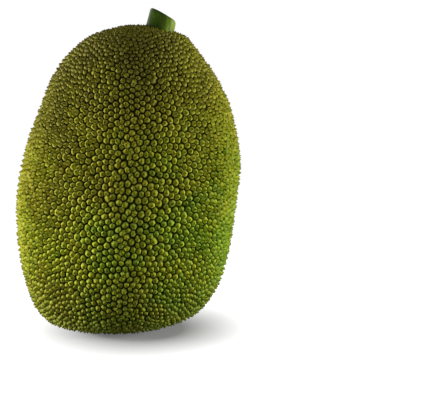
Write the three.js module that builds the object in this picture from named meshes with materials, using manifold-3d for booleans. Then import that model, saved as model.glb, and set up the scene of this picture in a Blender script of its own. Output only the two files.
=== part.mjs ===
// A whole jackfruit standing on its blossom end, with the cut stub of its stalk on top.
// Millimetres, +Z up. The origin is on the resting surface, under the middle of the fruit's box.
import * as THREE from "three";
import { mergeVertices } from "three/addons/utils/BufferGeometryUtils.js";
import Module from "manifold-3d";

const wasm = await Module();
wasm.setup();

// ---- Driving dimensions ----

// The fruit is a row of nearly round ribs from the flat spot that it stands on to the stalk.
// Each rib is given by its left and its right edge, as [across, up]. The fruit leans a little to the
// right as it rises, so the right edge of a rib is lower than its left edge.
// The skin's points end on this surface.
const RIBS = [
  [[-67, 0], [36, 0]],
  [[-87, 4], [58, 4]],
  [[-102, 18], [79, 15]],
  [[-114, 52], [98, 42]],
  [[-120, 98], [109, 80]],
  [[-118, 148], [116, 128]],
  [[-106, 198], [121, 174]],
  [[-92, 233], [116, 210]],
  [[-80, 262], [108, 240]],
  [[-65, 285], [92, 270]],
  [[-38, 308], [75, 293]],
  [[-3, 318.5], [64, 307]],
];
const CROWN = [32, 319.5]; // top of the fruit, [across, up], inside the stalk's foot
const DEPTH_RATIO = 0.96; // a rib's depth, front to back, against its width
const SWAY = 4; // how far the fruit bends to the back low down and to the front high up
const SWELL = 0.02; // height of the broad swellings on the front and back, against the rib's radius
const SEGMENTS_AROUND = 64;
const ROWS = 40;

const STALK_LEAN = THREE.MathUtils.degToRad(13); // to the right
const STALK_FOOT = new THREE.Vector3(36.1, 1, 317.5); // where the stalk's axis leaves the fruit
const STALK_FOOT_RADIUS = 15.6;
const STALK_TOP_RADIUS = 14.2;
const STALK_LENGTH = 24; // foot to tip, before the slanting cut
const SOCKET_DEPTH = 7; // how far the stalk runs into the fruit
const FIT_GAP = 0.3; // between the stalk and the fruit
const CUT_MIDDLE = new THREE.Vector3(39.5, 2, 328);
const CUT_NORMAL = new THREE.Vector3(0.47, 0.12, 0.875).normalize(); // slopes down to the right and back
const STALK_SEGMENTS = 40;

// ---- Helpers for cutting ----

function toSolid(geometry) {
  const bare = geometry.clone();
  bare.deleteAttribute("normal");
  bare.deleteAttribute("uv");
  const merged = mergeVertices(bare, 1e-4);
  return new wasm.Manifold(
    new wasm.Mesh({
      numProp: 3,
      vertProperties: new Float32Array(merged.attributes.position.array),
      triVerts: new Uint32Array(merged.index.array),
    }),
  );
}

function toGeometry(solid) {
  const mesh = solid.getMesh();
  const geometry = new THREE.BufferGeometry();
  geometry.setAttribute("position", new THREE.BufferAttribute(mesh.vertProperties, 3));
  geometry.setIndex(new THREE.BufferAttribute(mesh.triVerts, 1));
  geometry.computeVertexNormals();
  return geometry;
}

// ---- Fruit ----

// Broad, shallow swellings that make the ribs less than perfectly round. They die out at the
// left and right edges, so the ribs keep their stated width.
function swelling(around, rise) {
  const broad = Math.cos(3 * around + 1.1 + 2.2 * rise);
  const narrow = 0.6 * Math.cos(5 * around - 0.7 + 5 * rise);
  return 1 + SWELL * (broad + narrow) * Math.sin(around) ** 2 * Math.sin(Math.PI * rise);
}

// A sphere whose rows are drawn out to the ribs: its lowest pole is the middle of the flat spot,
// and its highest pole is the crown.
function fruitGeometry() {
  const edge = (side) =>
    new THREE.CatmullRomCurve3(RIBS.map((rib) => new THREE.Vector3(rib[side][0], 0, rib[side][1])));
  const left = edge(0);
  const right = edge(1);
  const ball = new THREE.SphereGeometry(1, SEGMENTS_AROUND, ROWS);
  const position = ball.attributes.position;
  const uv = ball.attributes.uv;
  for (let i = 0; i < position.count; i++) {
    const row = Math.round(uv.getY(i) * ROWS);
    const column = (i % (SEGMENTS_AROUND + 1)) % SEGMENTS_AROUND;
    const around = (column / SEGMENTS_AROUND) * 2 * Math.PI;
    const rise = THREE.MathUtils.clamp((row - 1) / (ROWS - 2), 0, 1);
    const a = left.getPoint(rise);
    const b = right.getPoint(rise);
    const middle = a.clone().lerp(b, 0.5);
    if (row === 0) {
      position.setXYZ(i, middle.x, 0, 0);
    } else if (row === ROWS) {
      position.setXYZ(i, CROWN[0], 0, CROWN[1]);
    } else {
      const reach = swelling(around, rise);
      const half = b.clone().sub(a).multiplyScalar(0.5);
      const point = middle.addScaledVector(half, Math.cos(around) * reach);
      const depth = half.length() * DEPTH_RATIO * Math.sin(around) * reach;
      point.y = depth + SWAY * Math.sin(2 * Math.PI * rise);
      position.setXYZ(i, point.x, point.y, row === 1 ? 0 : point.z);
    }
  }
  return ball;
}

// ---- Stalk ----

// A rod on the stalk's axis, from below the skin to above it.
function rod(topRadius, footRadius, below, above) {
  const geometry = new THREE.CylinderGeometry(topRadius, footRadius, below + above, STALK_SEGMENTS);
  geometry.translate(0, (above - below) / 2, 0);
  geometry.rotateX(Math.PI / 2);
  geometry.rotateY(STALK_LEAN);
  geometry.translate(STALK_FOOT.x, STALK_FOOT.y, STALK_FOOT.z);
  return geometry;
}

// Everything above the slanting knife cut, as a block.
function knifeSide() {
  const size = 4 * STALK_LENGTH;
  const block = new THREE.BoxGeometry(size, size, size);
  block.translate(0, 0, size / 2);
  const turn = new THREE.Quaternion().setFromUnitVectors(new THREE.Vector3(0, 0, 1), CUT_NORMAL);
  block.applyQuaternion(turn);
  block.translate(CUT_MIDDLE.x, CUT_MIDDLE.y, CUT_MIDDLE.z);
  return block;
}

const socket = toSolid(
  rod(STALK_FOOT_RADIUS + FIT_GAP, STALK_FOOT_RADIUS + FIT_GAP, SOCKET_DEPTH + FIT_GAP, STALK_LENGTH),
);
const fruitSolid = toSolid(fruitGeometry()).subtract(socket);
const stalkSolid = toSolid(
  rod(STALK_TOP_RADIUS, STALK_FOOT_RADIUS, SOCKET_DEPTH, STALK_LENGTH),
).subtract(toSolid(knifeSide()));

// ---- The whole fruit ----

const fruit = new THREE.Mesh(
  toGeometry(fruitSolid),
  new THREE.MeshStandardMaterial({ color: 0x7d8430, roughness: 0.62, metalness: 0 }),
);
fruit.name = "fruit";

const stalk = new THREE.Mesh(
  toGeometry(stalkSolid),
  new THREE.MeshStandardMaterial({ color: 0x4f7a1f, roughness: 0.45, metalness: 0 }),
);
stalk.name = "stalk";

const jackfruit = new THREE.Group();
jackfruit.add(fruit, stalk);

// Centre the box of the whole on the origin, across and front to back.
const middle = new THREE.Box3().setFromObject(jackfruit).getCenter(new THREE.Vector3());
jackfruit.position.set(-middle.x, -middle.y, 0);

export default jackfruit;
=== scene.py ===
import math

import bpy
import numpy as np
from mathutils import Matrix, Vector, noise
from mathutils.bvhtree import BVHTree
from mathutils.kdtree import KDTree


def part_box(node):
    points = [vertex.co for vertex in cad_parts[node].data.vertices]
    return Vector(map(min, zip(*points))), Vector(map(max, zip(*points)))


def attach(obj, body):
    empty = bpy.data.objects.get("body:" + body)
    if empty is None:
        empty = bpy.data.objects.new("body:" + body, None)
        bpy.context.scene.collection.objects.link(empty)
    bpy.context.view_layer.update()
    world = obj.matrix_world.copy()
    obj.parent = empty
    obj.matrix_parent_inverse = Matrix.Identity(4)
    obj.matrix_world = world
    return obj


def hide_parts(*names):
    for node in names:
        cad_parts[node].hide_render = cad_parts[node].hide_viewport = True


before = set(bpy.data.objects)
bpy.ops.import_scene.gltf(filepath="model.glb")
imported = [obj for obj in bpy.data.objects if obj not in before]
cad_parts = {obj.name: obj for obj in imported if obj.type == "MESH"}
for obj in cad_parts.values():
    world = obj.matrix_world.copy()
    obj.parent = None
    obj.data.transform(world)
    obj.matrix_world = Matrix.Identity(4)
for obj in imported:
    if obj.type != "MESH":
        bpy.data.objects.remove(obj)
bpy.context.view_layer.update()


# ---- Rind ----
# The rind is a thick leathery skin of more than six thousand tubercles, the blunt ends of the
# flower tubes that the fruit is grown together from. They crowd each other into rough hexagons,
# smallest round the stalk, with narrow valleys between them.

GROWTH = np.random.default_rng(21)
SPACING_UP = [0, 0.15, 0.35, 0.6, 0.8, 0.93, 1]  # share of the fruit's height
SPACING = [0.0060, 0.0066, 0.0070, 0.0070, 0.0068, 0.0060, 0.0052]  # middle to middle, at those
BROADER_ASIDE = 0.12  # how much further apart they stand at the left and right than in the middle
AS_LISTED = 0.4  # where they stand as listed: the share of the half width, squared
SPACING_DRIFT = 0.10  # how much whole patches of tubercles run larger or smaller
DRIFT_SIZE = 0.022  # how broad those patches are
CROWDING_ROUNDS = 60
NEIGHBOURS = 7  # that push on each
GIVE = 0.25  # the share of a push that moves a tubercle in one round
TINY = 1e-9  # keeps a division from meeting zero
SQUEEZE = np.array((1, 1, 0.94))  # they crowd less up and down, so they stand taller than wide
REACH = 1.2  # how far apart crowding tubercles still push, against their spacing
RISE_TO_SPACING = 0.86  # a tubercle's height against its width
HEIGHT_SPREAD = 0.12  # how much shorter than the tallest the others are
LEAN = 0.0009  # how far a tip strays from over the middle of its tubercle
RISE = [0, 0.48, 0.77, 1]  # of a tubercle's valley, shoulder, foot of the dry tip, and point
SHOULDER = 0.74  # a shoulder's reach against its foot's
ROUNDING = 0.08  # how far a shoulder's corners are rounded off
GIRTH_SPREAD = 0.05  # from one tubercle to the next
CORNER_SPREAD = 0.07  # from one corner of a tubercle to the next
TIP_RADIUS = 0.0010  # of the dry tip
FOOT_RADIUS = 0.0156  # of the stalk, under which the rind is bare
BARE_MARGIN = 0.003  # how far inside the stalk the bare rind ends
BARE_HEIGHT = 0.0002  # of the rind's cells there
SMOOTHEST = math.radians(48)  # a bend that still looks smooth

# The surface that the tips reach: the fruit with the stalk's socket closed over.
bpy.ops.object.select_all(action="DESELECT")
fruit_low, fruit_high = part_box("fruit")
skin = bpy.data.objects.new("skin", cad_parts["fruit"].data.copy())
bpy.context.collection.objects.link(skin)
bpy.context.view_layer.objects.active = skin
skin.select_set(True)
bpy.ops.object.mode_set(mode="EDIT")
bpy.ops.mesh.select_all(action="SELECT")
bpy.ops.mesh.remove_doubles(threshold=1e-6)
bpy.ops.mesh.convex_hull(join_triangles=False)
bpy.ops.object.mode_set(mode="OBJECT")
skin_corners = np.array([v.co for v in skin.data.vertices])
skin_triangles = np.array([tuple(p.vertices) for p in skin.data.polygons])
tip_surface = BVHTree.FromPolygons(skin_corners.tolist(), skin_triangles.tolist())
bpy.data.objects.remove(skin)


def spacing_at(place):
    """How far apart the tubercles stand at a place."""
    drift = SPACING_DRIFT * noise.noise(Vector(place) / DRIFT_SIZE)
    aside = BROADER_ASIDE * ((place[0] / fruit_high.x) ** 2 - AS_LISTED)
    return np.interp(place[2] / fruit_high.z, SPACING_UP, SPACING) * (1 + drift + aside)


# Scatter the growing points, as many to a patch of skin as the spacing there leaves room for.
corners = skin_corners[skin_triangles]
across = np.cross(corners[:, 1] - corners[:, 0], corners[:, 2] - corners[:, 0])
hexagon = np.array([math.sqrt(3) / 2 * spacing_at(middle) ** 2 for middle in corners.mean(axis=1)])
room = np.linalg.norm(across, axis=1) / 2 / hexagon
tubercle_count = int(room.sum())
patch = GROWTH.choice(len(room), tubercle_count, p=room / room.sum())
share = GROWTH.dirichlet((1, 1, 1), tubercle_count)
points = (corners[patch] * share[:, :, None]).sum(axis=1)

# Let them crowd each other until they stand evenly apart.
for _ in range(CROWDING_ROUNDS):
    tree = KDTree(tubercle_count)
    for i, point in enumerate(points):
        tree.insert(point * SQUEEZE, i)
    tree.balance()
    nearest = [tree.find_n(p * SQUEEZE, NEIGHBOURS + 1) for p in points]
    neighbours = np.array([[found[1] for found in others[1:]] for others in nearest])
    wanted = REACH * np.array([spacing_at(p) for p in points])[:, None]
    apart = (points[:, None] - points[neighbours]) * SQUEEZE
    distance = np.linalg.norm(apart, axis=2) + TINY
    push = np.clip(wanted - distance, 0, None) / distance
    points = points + GIVE * (apart * push[:, :, None]).sum(axis=1)
    points = np.array([tip_surface.find_nearest(Vector(p))[0] for p in points])

# Join the points to their neighbours by wrapping them while they lie on a ball.
middle = np.array((fruit_low + fruit_high) / 2)
on_ball = points - middle
on_ball = on_ball / np.linalg.norm(on_ball, axis=1)[:, None]
rind = bpy.data.objects.new("jackfruit_rind", bpy.data.meshes.new("jackfruit_rind"))
rind.data.from_pydata(on_ball.tolist(), [], [])
bpy.context.collection.objects.link(rind)
bpy.context.view_layer.objects.active = rind
rind.select_set(True)
bpy.ops.object.mode_set(mode="EDIT")
bpy.ops.mesh.select_all(action="SELECT")
bpy.ops.mesh.convex_hull(join_triangles=False)
bpy.ops.object.mode_set(mode="OBJECT")
rind.data.vertices.foreach_set("co", points.ravel())
bpy.ops.object.mode_set(mode="EDIT")
bpy.ops.mesh.select_all(action="SELECT")
bpy.ops.mesh.beautify_fill(angle_limit=math.pi)
bpy.ops.object.mode_set(mode="OBJECT")

# Give each point a face of its own, the foot of one tubercle, with the dual of that mesh.
cells = bpy.data.node_groups.new("cells", "GeometryNodeTree")
cells.interface.new_socket("Geometry", in_out="INPUT", socket_type="NodeSocketGeometry")
cells.interface.new_socket("Geometry", in_out="OUTPUT", socket_type="NodeSocketGeometry")
points_in = cells.nodes.new("NodeGroupInput")
dual = cells.nodes.new("GeometryNodeDualMesh")
cells_out = cells.nodes.new("NodeGroupOutput")
cells.links.new(points_in.outputs[0], dual.inputs[0])
cells.links.new(dual.outputs[0], cells_out.inputs[0])
rind.modifiers.new("cells", "NODES").node_group = cells
bpy.ops.object.modifier_apply(modifier="cells")
mesh = rind.data
feet = len(mesh.polygons)
foot_normal = np.array([p.normal for p in mesh.polygons])
mesh.attributes.new("tubercle", "INT", "FACE").data.foreach_set("value", range(feet))

# Sink the feet to the valley floor, each corner along the way it faced before any had moved, and
# lay two rings and a point on each foot for a tubercle.
outward = [vertex.normal.copy() for vertex in mesh.vertices]
for vertex, direction in zip(mesh.vertices, outward):
    vertex.co = vertex.co - direction * spacing_at(vertex.co) * RISE_TO_SPACING
level_start = [len(mesh.vertices)]
bpy.ops.object.mode_set(mode="EDIT")
bpy.ops.mesh.select_all(action="SELECT")
for _ in range(2):
    bpy.ops.mesh.inset(thickness=0, use_individual=True)
    rind.update_from_editmode()
    level_start.append(len(mesh.vertices))
bpy.ops.mesh.poke()
bpy.ops.object.mode_set(mode="OBJECT")

# How far up its tubercle each corner stands, and which tubercle that is.
level = np.zeros(len(mesh.vertices), int)
for start in level_start:
    level[start:] += 1
rise = np.array(RISE)[level]
loop_corner = np.zeros(len(mesh.loops), int)
mesh.loops.foreach_get("vertex_index", loop_corner)
face_size = np.zeros(len(mesh.polygons), int)
mesh.polygons.foreach_get("loop_total", face_size)
tubercle = np.zeros(len(mesh.polygons), int)
mesh.attributes["tubercle"].data.foreach_get("value", tubercle)
owner = np.zeros(len(mesh.vertices), int)
owner[loop_corner] = np.repeat(tubercle, face_size)

# Draw in the shoulders and the dry tips, then raise every tubercle to a height of its own, with
# its tip straying a little to one side. None stands higher than the fruit's own surface.
co = np.zeros(3 * len(mesh.vertices))
mesh.vertices.foreach_get("co", co)
co = co.reshape(-1, 3)
shoulder = level == 1
corner_count = np.bincount(owner[shoulder])
middles = np.stack([np.bincount(owner[shoulder], co[shoulder, axis]) for axis in range(3)], axis=1)
middles = middles / corner_count[:, None]
arm = co - middles[owner]
arm_length = np.linalg.norm(arm, axis=1) + TINY
mean_length = np.bincount(owner[shoulder], arm_length[shoulder]) / corner_count
girth = SHOULDER * (1 + GROWTH.normal(0, GIRTH_SPREAD, feet))
uneven = 1 + GROWTH.normal(0, CORNER_SPREAD, len(co))
drawn_in = girth[owner] * (1 + ROUNDING * (mean_length[owner] / arm_length - 1)) * uneven
drawn_in[level == 2] = TIP_RADIUS / arm_length[level == 2]
drawn_in[(level == 0) | (level == 3)] = 0
stalk_low, stalk_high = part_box("stalk")
stalk_foot = (stalk_low.x + FOOT_RADIUS, (stalk_low.y + stalk_high.y) / 2)
reach = np.array([tip_surface.find_nearest(Vector(m))[3] for m in middles])
height = reach * (1 - np.abs(GROWTH.normal(0, HEIGHT_SPREAD, feet)))
from_stalk = np.linalg.norm(middles[:, :2] - stalk_foot, axis=1)
height[(from_stalk < FOOT_RADIUS - BARE_MARGIN) & (middles[:, 2] > middle[2])] = BARE_HEIGHT
stray = GROWTH.normal(0, LEAN, (feet, 3))
stray = stray - (stray * foot_normal).sum(axis=1)[:, None] * foot_normal
risen = (foot_normal * height[:, None] + stray)[owner] * rise[:, None]
drawn_from = np.where((level == 0)[:, None], co, middles[owner])
co = drawn_from + arm * drawn_in[:, None] + risen
co[:, 2] = np.clip(co[:, 2], 0, None)
mesh.vertices.foreach_set("co", co.ravel())
mesh.attributes.new("rise", "FLOAT", "POINT").data.foreach_set("value", rise)
tint = GROWTH.random(feet)
mesh.attributes.new("tint", "FLOAT", "FACE").data.foreach_set("value", tint[tubercle])
bpy.ops.object.shade_smooth_by_angle(angle=SMOOTHEST)
mesh.update()


def linear(code):
    """A linear colour from an sRGB hex code."""
    channels = [int(code[i:i + 2], 16) / 255 for i in (1, 3, 5)]
    return [c / 12.92 if c <= 0.04045 else ((c + 0.055) / 1.055) ** 2.4 for c in channels] + [1]


def add(tree, kind, inputs=(), **settings):
    """Add a node to a tree; inputs gives each socket a value or another node's output.

    Sockets whose names repeat go by number: a Map Range turns the range from 1 to 2 into the one
    from 3 to 4, and a colour Mix blends 6 with 7 by the factor 0, into its output 2.
    """
    node = tree.nodes.new(kind)
    for name, value in settings.items():
        setattr(node, name, value)
    for socket, value in dict(inputs).items():
        if isinstance(value, bpy.types.NodeSocket):
            tree.links.new(value, node.inputs[socket])
        else:
            node.inputs[socket].default_value = value
    return node


def new_finish(name):
    """A new material whose node tree is empty."""
    finish = bpy.data.materials.new(name)
    finish.use_nodes = True
    finish.node_tree.nodes.clear()
    return finish


def paint_stops(ramp, stops):
    """Set a colour ramp's stops from (position, hex code) pairs."""
    elements = ramp.color_ramp.elements
    while len(elements) < len(stops):
        elements.new(0.5)
    for element, (position, code) in zip(elements, stops):
        element.position = position
        element.color = linear(code)


# Living jackfruit rind: a leathery plant skin with a thin bloom of wax, grown, not finished. It
# gives the eye yellow-green slopes, painted shade in the valleys, a painted highlight on each
# shoulder's rim and a dark dry tip.
rind_leather = new_finish("jackfruit_rind")
tree = rind_leather.node_tree
place = add(tree, "ShaderNodeTexCoord").outputs["Object"]
up_tubercle = add(tree, "ShaderNodeAttribute", attribute_name="rise").outputs["Fac"]
own_tint = add(tree, "ShaderNodeAttribute", attribute_name="tint").outputs["Fac"]

# Greener low down, browner toward the crown and painted darker there as painted shade, and
# yellower on the left, where it hung in the sun, with patches of ripeness 40 mm across and a
# lesser change from one tubercle to the next.
parts = add(tree, "ShaderNodeSeparateXYZ", {0: place})
# Painted shade: the crown's share of the ripeness also darkens the skin toward the top.
crown_brown_and_shade = add(tree, "ShaderNodeMapRange", {0: parts.outputs[2], 1: 0.12, 2: 0.31, 3: -0.03,
                                                4: 0.31})
left_to_right = add(tree, "ShaderNodeMapRange", {0: parts.outputs[0], 1: -0.12, 2: 0.06, 3: 0.11,
                                              4: -0.08})
patches = add(tree, "ShaderNodeTexNoise", {"Vector": place, "Scale": 1 / 0.040, "Detail": 3})
patch_age = add(tree, "ShaderNodeMapRange", {0: patches.outputs["Fac"], 1: 0.3, 2: 0.7, 3: 0.40,
                                             4: 0.56})
aged_and_crown_shade = add(tree, "ShaderNodeMath", {0: patch_age.outputs[0], 1: crown_brown_and_shade.outputs[0]})
sunned_and_crown_shade = add(tree, "ShaderNodeMath", {0: aged_and_crown_shade.outputs[0], 1: left_to_right.outputs[0]})
drift = add(tree, "ShaderNodeMath", {0: own_tint, 1: 0.12, 2: -0.06}, operation="MULTIPLY_ADD")
ripeness_and_crown_shade = add(tree, "ShaderNodeMath", {0: sunned_and_crown_shade.outputs[0], 1: drift.outputs[0]})
slope = add(tree, "ShaderNodeValToRGB", {0: ripeness_and_crown_shade.outputs[0]})
paint_stops(slope, [(0.34, "#a6cc0e"), (0.46, "#bfcc0e"), (0.60, "#b8b60c"), (0.78, "#8b860c"),
                    (0.92, "#6c660e")])

# The skin is painted darker down to the valleys, a painted shade, and each tubercle has a tone of
# its own. Those round the foot of the fruit are painted darker too, a painted shade. Painted
# highlights pale the rim of each shoulder, standing in for the sheen of its wax.
# Painted shade and highlight: dark in the valleys, white at the shoulder's rim, darker again toward
# the tip.
depth = add(tree, "ShaderNodeValToRGB", {0: up_tubercle})
paint_stops(depth, [(0.0, "#383402"), (0.24, "#6c6a0c"), (0.42, "#cccc60"), (0.52, "#ffffe0"),
                    (0.70, "#dcd892"), (0.86, "#a4a044")])
shaded = add(tree, "ShaderNodeMix", {0: 1.0, 6: slope.outputs["Color"], 7: depth.outputs["Color"]},
             data_type="RGBA", blend_type="MULTIPLY")
own_tone = add(tree, "ShaderNodeMapRange", {0: own_tint, 3: 0.78, 4: 1.14})
# Painted shade: the skin is darker toward the bottom, down to 0.55 at the floor.
painted_base_shade = add(tree, "ShaderNodeMapRange", {0: parts.outputs[2], 2: 0.075, 3: 0.55, 4: 1.0})
tone = add(tree, "ShaderNodeMath", {0: own_tone.outputs[0], 1: painted_base_shade.outputs[0]},
           operation="MULTIPLY")
toned = add(tree, "ShaderNodeVectorMath", {0: shaded.outputs[2], "Scale": tone.outputs[0]},
            operation="SCALE")
# Painted highlight: a pale sheen laid on the rim of each shoulder.
painted_sheen = add(tree, "ShaderNodeValToRGB", {0: up_tubercle})
paint_stops(painted_sheen, [(0.38, "#000000"), (0.48, "#8c8c8c"), (0.58, "#6c6c6c"), (0.72, "#242424")])
with_painted_sheen = add(tree, "ShaderNodeMix", {0: painted_sheen.outputs["Color"], 6: toned.outputs[0],
                                    7: linear("#b8ba9a")}, data_type="RGBA")

# The dead tip of each flower is a dry brown speck less than two millimetres across, and the skin
# has a fine grain.
tip_mask = add(tree, "ShaderNodeMapRange", {0: up_tubercle, 1: 0.78, 2: 0.97})
tipped = add(tree, "ShaderNodeMix", {0: tip_mask.outputs[0], 6: with_painted_sheen.outputs[2],
                                     7: linear("#443602")}, data_type="RGBA")
grain = add(tree, "ShaderNodeTexNoise", {"Vector": place, "Scale": 1 / 0.0009, "Detail": 2})
bump = add(tree, "ShaderNodeBump", {"Height": grain.outputs["Fac"], "Strength": 0.25,
                                    "Distance": 0.0002})
shader = add(tree, "ShaderNodeBsdfPrincipled", {
    "Base Color": tipped.outputs[2], "Roughness": 0.5, "Specular IOR Level": 0.02,
    "Normal": bump.outputs["Normal"]})
add(tree, "ShaderNodeOutputMaterial", {"Surface": shader.outputs["BSDF"]})
rind.data.materials.append(rind_leather)

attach(rind, "root")
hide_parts("fruit")


# ---- Stalk ----
# The stub of the stalk that the fruit hung from: a thick green woody stem with shallow flutes,
# cut through on a slant with a knife. It leans to the right and is sunk in a socket in the crown.

STALK_LEAN = math.radians(13)
HEAD_RADIUS = 0.0142
STUB_LENGTH = 0.033  # before the cut
FOOT_TO_CUT = 0.0183  # along the middle of the stalk
CUT_SLOPE = Vector((0.47, 0.12, 0.875)).normalized()
ROUND_STEPS = 84
FLUTES = 7
FLUTE_DEPTH = 0.030  # against the radius
FLUTE_TWIST = 1.6  # radians that they wind by along the stub
WANDER = 0.035  # how far the stem is from evenly round, against the radius
WANDER_AROUND = 1.4  # how quickly that changes round the stem, and along it
WANDER_ALONG = 1.5
WORN_RIM = 0.0026  # how wide the rim of the cut is worn round
RIM_STEPS = 6
RINGS = 13  # of corners between the foot and the cut
CUT_FACING = 0.99  # the least cosine between the cut's slope and its own face
CUT_AREA = 1e-4  # that face is larger than this, and those of the worn rim are smaller
CUT_STEPS = [(0.0004, -0.0002), (0.0008, -0.0003), (0.0022, 0.0002), (0.0030, 0.0001),
             (0.0026, -0.0003), (0.0012, -0.0005)]  # width and rise of each ring, going in
SIDE_RISE = 0.006  # the least that an edge of its side rises
SIDE_RADIUS = 0.013  # and the least that it stands from the middle
SMOOTHEST = math.radians(50)  # a bend that still looks smooth


def deselect_parts(mesh):
    """Deselect every corner, edge and face of a mesh."""
    for part in (mesh.vertices, mesh.edges, mesh.polygons):
        part.foreach_set("select", [False] * len(part))


lean = Matrix.Rotation(STALK_LEAN, 3, "Y")
foot = Vector((stalk_low.x + FOOT_RADIUS * math.cos(STALK_LEAN),
               (stalk_low.y + stalk_high.y) / 2,
               stalk_low.z + FOOT_RADIUS * math.sin(STALK_LEAN)))

# The rod, the knife's cut across it, its rim worn round, and a shallow step for each ring of
# bark, wood and pith.
cut_normal = lean.inverted() @ CUT_SLOPE
cut_middle = Vector((0, 0, FOOT_TO_CUT))
bpy.ops.object.select_all(action="DESELECT")
bpy.ops.mesh.primitive_cylinder_add(vertices=ROUND_STEPS, radius=FOOT_RADIUS, depth=STUB_LENGTH,
                                    location=(0, 0, STUB_LENGTH / 2))
stalk = bpy.context.object
stalk.name = "stalk_stub"
bpy.ops.object.transform_apply(location=True)
bpy.ops.object.mode_set(mode="EDIT")
bpy.ops.mesh.select_all(action="SELECT")
bpy.ops.mesh.bisect(plane_co=cut_middle, plane_no=cut_normal, use_fill=True, clear_outer=True)
bpy.ops.mesh.bevel(offset=WORN_RIM, segments=RIM_STEPS)
bpy.ops.object.mode_set(mode="OBJECT")
deselect_parts(stalk.data)
for face in stalk.data.polygons:
    face.select = face.normal.dot(cut_normal) > CUT_FACING and face.area > CUT_AREA
bpy.ops.object.mode_set(mode="EDIT")
bpy.ops.mesh.select_mode(type="FACE")
for width, ring_rise in CUT_STEPS:
    bpy.ops.mesh.inset(thickness=width, depth=ring_rise)
bpy.ops.mesh.poke()
bpy.ops.object.mode_set(mode="OBJECT")

# Rings all the way up, on the long edges of its side, then flutes that wind a little as they rise.
deselect_parts(stalk.data)
for edge in stalk.data.edges:
    ends = [stalk.data.vertices[v].co for v in edge.vertices]
    tall = abs(ends[0].z - ends[1].z) > SIDE_RISE
    edge.select = tall and min(end.xy.length for end in ends) > SIDE_RADIUS
bpy.ops.object.mode_set(mode="EDIT")
bpy.ops.mesh.select_mode(type="EDGE")
bpy.ops.mesh.subdivide(number_cuts=RINGS)
bpy.ops.object.mode_set(mode="OBJECT")
for vertex in stalk.data.vertices:
    up = vertex.co.z / STUB_LENGTH
    around = math.atan2(vertex.co.y, vertex.co.x)
    flute = FLUTE_DEPTH * (0.5 + 0.5 * math.cos(FLUTES * around + FLUTE_TWIST * up)) ** 2
    bulge = noise.noise(Vector((WANDER_AROUND * math.cos(around),
                                WANDER_AROUND * math.sin(around), WANDER_ALONG * up)))
    taper = 1 + (HEAD_RADIUS / FOOT_RADIUS - 1) * up
    vertex.co.xy *= taper * (1 - flute - WANDER * (0.5 + 0.5 * bulge))

# How far each corner lies below the cut, for the darker bruised bark along the rim.
below_cut = [(cut_middle - v.co).dot(cut_normal) for v in stalk.data.vertices]
stalk.data.attributes.new("below_cut", "FLOAT", "POINT").data.foreach_set("value", below_cut)
stalk.data.transform(Matrix.Translation(foot) @ lean.to_4x4())
bpy.ops.object.shade_smooth_by_angle(angle=SMOOTHEST)

# Green bark of a young woody stem: smooth, tight and fresh, with a faint gloss. It gives the eye
# a deep green with paler lengthwise streaks, a painted lit side and painted highlight on the
# right, painted shade on the left, small corky pores, and a dark rim at the cut.
bark = new_finish("green_bark")
tree = bark.node_tree
place = add(tree, "ShaderNodeTexCoord").outputs["Object"]
upright = add(tree, "ShaderNodeMapping", {"Vector": place, "Location": foot,
                                          "Rotation": (0, STALK_LEAN, 0)}, vector_type="TEXTURE")
drawn_out = add(tree, "ShaderNodeMapping", {"Vector": upright.outputs[0], "Scale": (1, 1, 0.08)})
streaks = add(tree, "ShaderNodeTexNoise", {"Vector": drawn_out.outputs[0], "Scale": 1 / 0.0022,
                                           "Detail": 4, "Roughness": 0.6})
parts = add(tree, "ShaderNodeSeparateXYZ", {0: upright.outputs[0]})
# Painted light: the right side is painted paler and yellower as a lit side with a highlight, the left
# painted darker as shade.
left_to_right = add(tree, "ShaderNodeMapRange", {0: parts.outputs[0], 1: -0.004, 2: 0.018, 3: -0.10,
                                              4: 0.42}, interpolation_type="SMOOTHSTEP")
streak = add(tree, "ShaderNodeMapRange", {0: streaks.outputs["Fac"], 1: 0.3, 2: 0.7, 3: 0.38,
                                          4: 0.58})
streaks_and_painted_light = add(tree, "ShaderNodeMath", {0: streak.outputs[0], 1: left_to_right.outputs[0]})
green = add(tree, "ShaderNodeValToRGB", {0: streaks_and_painted_light.outputs[0]})
paint_stops(green, [(0.34, "#263b05"), (0.48, "#395606"), (0.66, "#5c760a"), (0.82, "#8fa834"),
                    (0.98, "#9eb426")])
clouds = add(tree, "ShaderNodeTexNoise", {"Vector": upright.outputs[0], "Scale": 1 / 0.009})
cloud_mask = add(tree, "ShaderNodeMapRange", {0: clouds.outputs["Fac"], 1: 0.45, 2: 0.75, 4: 0.5})
clouded = add(tree, "ShaderNodeMix", {0: cloud_mask.outputs[0], 6: green.outputs["Color"],
                                      7: linear("#46500e")}, data_type="RGBA")

# Corky pores, 0.8 mm across and twice as long, about 3 mm apart round the stem.
pore_field = add(tree, "ShaderNodeMapping", {"Vector": upright.outputs[0], "Scale": (1, 1, 0.5)})
pores = add(tree, "ShaderNodeTexVoronoi", {"Vector": pore_field.outputs[0], "Scale": 1 / 0.0030})
pore_mask = add(tree, "ShaderNodeMapRange", {0: pores.outputs["Distance"], 1: 0.10, 2: 0.17, 3: 0.7,
                                             4: 0.0})
pored = add(tree, "ShaderNodeMix", {0: pore_mask.outputs[0], 6: clouded.outputs[2],
                                    7: linear("#6e6e34")}, data_type="RGBA")
depth = add(tree, "ShaderNodeAttribute", attribute_name="below_cut").outputs["Fac"]
rim_mask = add(tree, "ShaderNodeMapRange", {0: depth, 1: 0.0004, 2: 0.0024, 3: 0.75, 4: 0.0})
rimmed = add(tree, "ShaderNodeMix", {0: rim_mask.outputs[0], 6: pored.outputs[2],
                                     7: linear("#1c2c10")}, data_type="RGBA")
relief = add(tree, "ShaderNodeMath", {0: streaks.outputs["Fac"], 1: pore_mask.outputs[0]})
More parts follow.
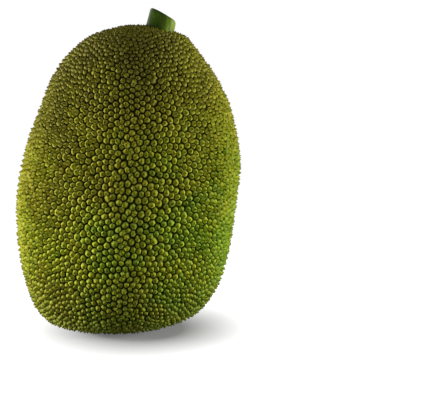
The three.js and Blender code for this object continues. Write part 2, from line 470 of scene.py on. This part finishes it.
bump = add(tree, "ShaderNodeBump", {"Height": relief.outputs[0], "Strength": 0.3,
                                    "Distance": 0.0003})
shader = add(tree, "ShaderNodeBsdfPrincipled", {
    "Base Color": rimmed.outputs[2], "Roughness": 0.28, "Specular IOR Level": 0.06,
    "Normal": bump.outputs["Normal"]})
add(tree, "ShaderNodeOutputMaterial", {"Surface": shader.outputs["BSDF"]})

# Fresh-cut sapwood: soft pale wood cut across by the knife. It gives the eye a cream disc with
# fine rings, a greener ring under the bark, a brown pith and beads of dried latex.
cut_wood = new_finish("cut_sapwood")
tree = cut_wood.node_tree
place = add(tree, "ShaderNodeTexCoord").outputs["Object"]
cut_place = foot + lean @ cut_middle
flat = add(tree, "ShaderNodeMapping", {"Vector": place, "Location": cut_place,
                                       "Rotation": (0, STALK_LEAN, 0)}, vector_type="TEXTURE")
wobble = add(tree, "ShaderNodeTexNoise", {"Vector": flat.outputs[0], "Scale": 1 / 0.004, "Detail": 3})
spread = add(tree, "ShaderNodeVectorMath", {0: wobble.outputs["Color"], "Scale": 0.0022},
             operation="SCALE")
bent = add(tree, "ShaderNodeVectorMath", {0: flat.outputs[0], 1: spread.outputs[0]})
parts = add(tree, "ShaderNodeSeparateXYZ", {0: bent.outputs[0]})
level_place = add(tree, "ShaderNodeCombineXYZ", {0: parts.outputs[0], 1: parts.outputs[1]})
from_pith = add(tree, "ShaderNodeVectorMath", {0: level_place.outputs[0]}, operation="LENGTH")
toward_bark = add(tree, "ShaderNodeMapRange", {0: from_pith.outputs["Value"], 1: 0.0, 2: 0.015})
wood = add(tree, "ShaderNodeValToRGB", {0: toward_bark.outputs[0]})
paint_stops(wood, [(0.05, "#8a6a34"), (0.15, "#c8b070"), (0.35, "#ddd0a0"), (0.70, "#d4cc94"),
                   (0.84, "#b4b868"), (0.95, "#6c8030")])
rings = add(tree, "ShaderNodeMath", {0: from_pith.outputs["Value"], 1: 2 * math.pi / 0.0013},
            operation="MULTIPLY")
ring_wave = add(tree, "ShaderNodeMath", {0: rings.outputs[0]}, operation="SINE")
ring_mask = add(tree, "ShaderNodeMapRange", {0: ring_wave.outputs[0], 1: 0.2, 2: 1.0, 4: 0.28})
ringed = add(tree, "ShaderNodeMix", {0: ring_mask.outputs[0], 6: wood.outputs["Color"],
                                     7: linear("#a08c50")}, data_type="RGBA")
fibres = add(tree, "ShaderNodeTexNoise", {"Vector": flat.outputs[0], "Scale": 1 / 0.0006,
                                          "Detail": 2})
latex = add(tree, "ShaderNodeTexNoise", {"Vector": flat.outputs[0], "Scale": 1 / 0.0042})
latex_mask = add(tree, "ShaderNodeMapRange", {0: latex.outputs["Fac"], 1: 0.62, 2: 0.66, 4: 0.8})
beaded = add(tree, "ShaderNodeMix", {0: latex_mask.outputs[0], 6: ringed.outputs[2],
                                     7: linear("#e8e4d4")}, data_type="RGBA")
relief = add(tree, "ShaderNodeMath", {0: fibres.outputs["Fac"], 1: latex_mask.outputs[0]})
bump = add(tree, "ShaderNodeBump", {"Height": relief.outputs[0], "Strength": 0.6,
                                    "Distance": 0.0003})
sheen = add(tree, "ShaderNodeMapRange", {0: latex_mask.outputs[0], 3: 0.7, 4: 0.3})
shader = add(tree, "ShaderNodeBsdfPrincipled", {
    "Base Color": beaded.outputs[2], "Roughness": sheen.outputs[0], "Specular IOR Level": 0.4,
    "Normal": bump.outputs["Normal"]})
add(tree, "ShaderNodeOutputMaterial", {"Surface": shader.outputs["BSDF"]})

# The wood shows on the steps of the cut and the inner part of its worn rim, the bark on the rest.
WOOD_DEPTH = 0.0018  # how far from the cut the wood still shows
WOOD_FACING = 0.88  # the least cosine between the cut's slope and a face of wood
stalk.data.materials.append(bark)
stalk.data.materials.append(cut_wood)
for face in stalk.data.polygons:
    on_cut = abs((face.center - cut_place).dot(CUT_SLOPE)) < WOOD_DEPTH
    face.material_index = int(on_cut and face.normal.dot(CUT_SLOPE) > WOOD_FACING)

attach(stalk, "root")
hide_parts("stalk")


# ---- Floor ----
# A plain white studio table. Close round the fruit it keeps the fruit's soft shadow, with a
# painted shadow as well where its glow is turned down, and further out it runs into the white of
# the backdrop.

FLOOR_SIZE = 8
PAINTED_SHADOW_MIDDLE = (0.012, -0.03, 0)
PAINTED_SHADOW_EDGE = 0.045  # how far from there the floor starts to whiten, and where it is white
WHITE_FROM = 0.12
PAINTED_SHADOW_GLOW = 0.12  # the floor's own glow in the shadow


def seen_rays(tree):
    """1 for a ray that shows the white surround: to the camera, mirrored or through something."""
    path = add(tree, "ShaderNodeLightPath")
    seen = add(tree, "ShaderNodeMath", {0: path.outputs["Is Camera Ray"],
                                        1: path.outputs["Is Glossy Ray"]}, operation="MAXIMUM")
    seen = add(tree, "ShaderNodeMath", {0: seen.outputs[0],
                                        1: path.outputs["Is Transmission Ray"]},
               operation="MAXIMUM")
    return seen.outputs[0]


bpy.ops.mesh.primitive_plane_add(size=FLOOR_SIZE)
floor = bpy.context.object
floor.name = "floor"
table_white = new_finish("table_white")
tree = table_white.node_tree
place = add(tree, "ShaderNodeTexCoord").outputs["Object"]
away = add(tree, "ShaderNodeVectorMath", {0: place, 1: PAINTED_SHADOW_MIDDLE}, operation="DISTANCE")
# Painted shadow: the floor's glow is turned down close round the fruit.
glow = add(tree, "ShaderNodeMapRange", {0: away.outputs["Value"], 1: PAINTED_SHADOW_EDGE, 2: WHITE_FROM,
                                        3: PAINTED_SHADOW_GLOW, 4: 1.0})
seen = seen_rays(tree)
strength = add(tree, "ShaderNodeMath", {0: glow.outputs[0], 1: seen}, operation="MULTIPLY")
white = add(tree, "ShaderNodeEmission", {"Color": (1, 1, 1, 1), "Strength": strength.outputs[0]})
paleness = add(tree, "ShaderNodeMapRange", {0: seen, 3: 0.12, 4: 0.5})
paper = add(tree, "ShaderNodeBsdfDiffuse", {"Color": paleness.outputs[0]})
both = add(tree, "ShaderNodeAddShader", {0: white.outputs[0], 1: paper.outputs[0]})
add(tree, "ShaderNodeOutputMaterial", {"Surface": both.outputs[0]})
floor.data.materials.append(table_white)


# ---- Light ----
# Two softboxes light the fruit from the sides. A wide one in front and one overhead fill in
# weakly, with a little even light from all round.

SOFTBOXES = [((-0.96, -0.07, 0.16), 0.5, 3.3, 75),
             ((0.96, -0.07, 0.16), 0.5, 1.9, 75),
             ((0.1, -1.6, 0.3), 1.4, 2.4, 180),
             ((0, -0.6, 1.2), 0.8, 0.35, 75)]  # place, width, power and spread
SOFTBOX_HEIGHT = 0.4
AIM = Vector((0, 0, 0.14))
ALL_ROUND = 0.03  # the strength of the even light

world = bpy.data.worlds.new("studio")
bpy.context.scene.world = world
world.use_nodes = True
tree = world.node_tree
tree.nodes.clear()
seen = seen_rays(tree)
strength = add(tree, "ShaderNodeMapRange", {0: seen, 3: ALL_ROUND, 4: 1.0})
sky = add(tree, "ShaderNodeBackground", {"Color": (1, 1, 1, 1), "Strength": strength.outputs[0]})
add(tree, "ShaderNodeOutputWorld", {"Surface": sky.outputs[0]})

for location, width, power, spread in SOFTBOXES:
    bpy.ops.object.light_add(type="AREA", location=location)
    lamp = bpy.context.object
    lamp.data.energy = power
    lamp.data.shape = "RECTANGLE"
    lamp.data.size = width
    lamp.data.size_y = SOFTBOX_HEIGHT
    lamp.data.spread = math.radians(spread)
    lamp.rotation_euler = (AIM - lamp.location).to_track_quat("-Z", "Y").to_euler()


# ---- Camera ----
# It looks slightly down on the fruit from the front through a long lens, with the fruit in the
# left half of the view.

SENSOR_WIDTH = 36
LENS = 97.14
CAMERA_PLACE = (0.0977, -1.2518, 0.3378)
LOOKS_DOWN = 9.5  # degrees

camera_data = bpy.data.cameras.new("camera")
camera_data.sensor_width = SENSOR_WIDTH
camera_data.lens = LENS
camera = bpy.data.objects.new("camera", camera_data)
camera.location = CAMERA_PLACE
camera.rotation_euler = (math.radians(90 - LOOKS_DOWN), 0, 0)
bpy.context.collection.objects.link(camera)
bpy.context.scene.camera = camera
bpy.context.scene.view_settings.view_transform = "Standard"
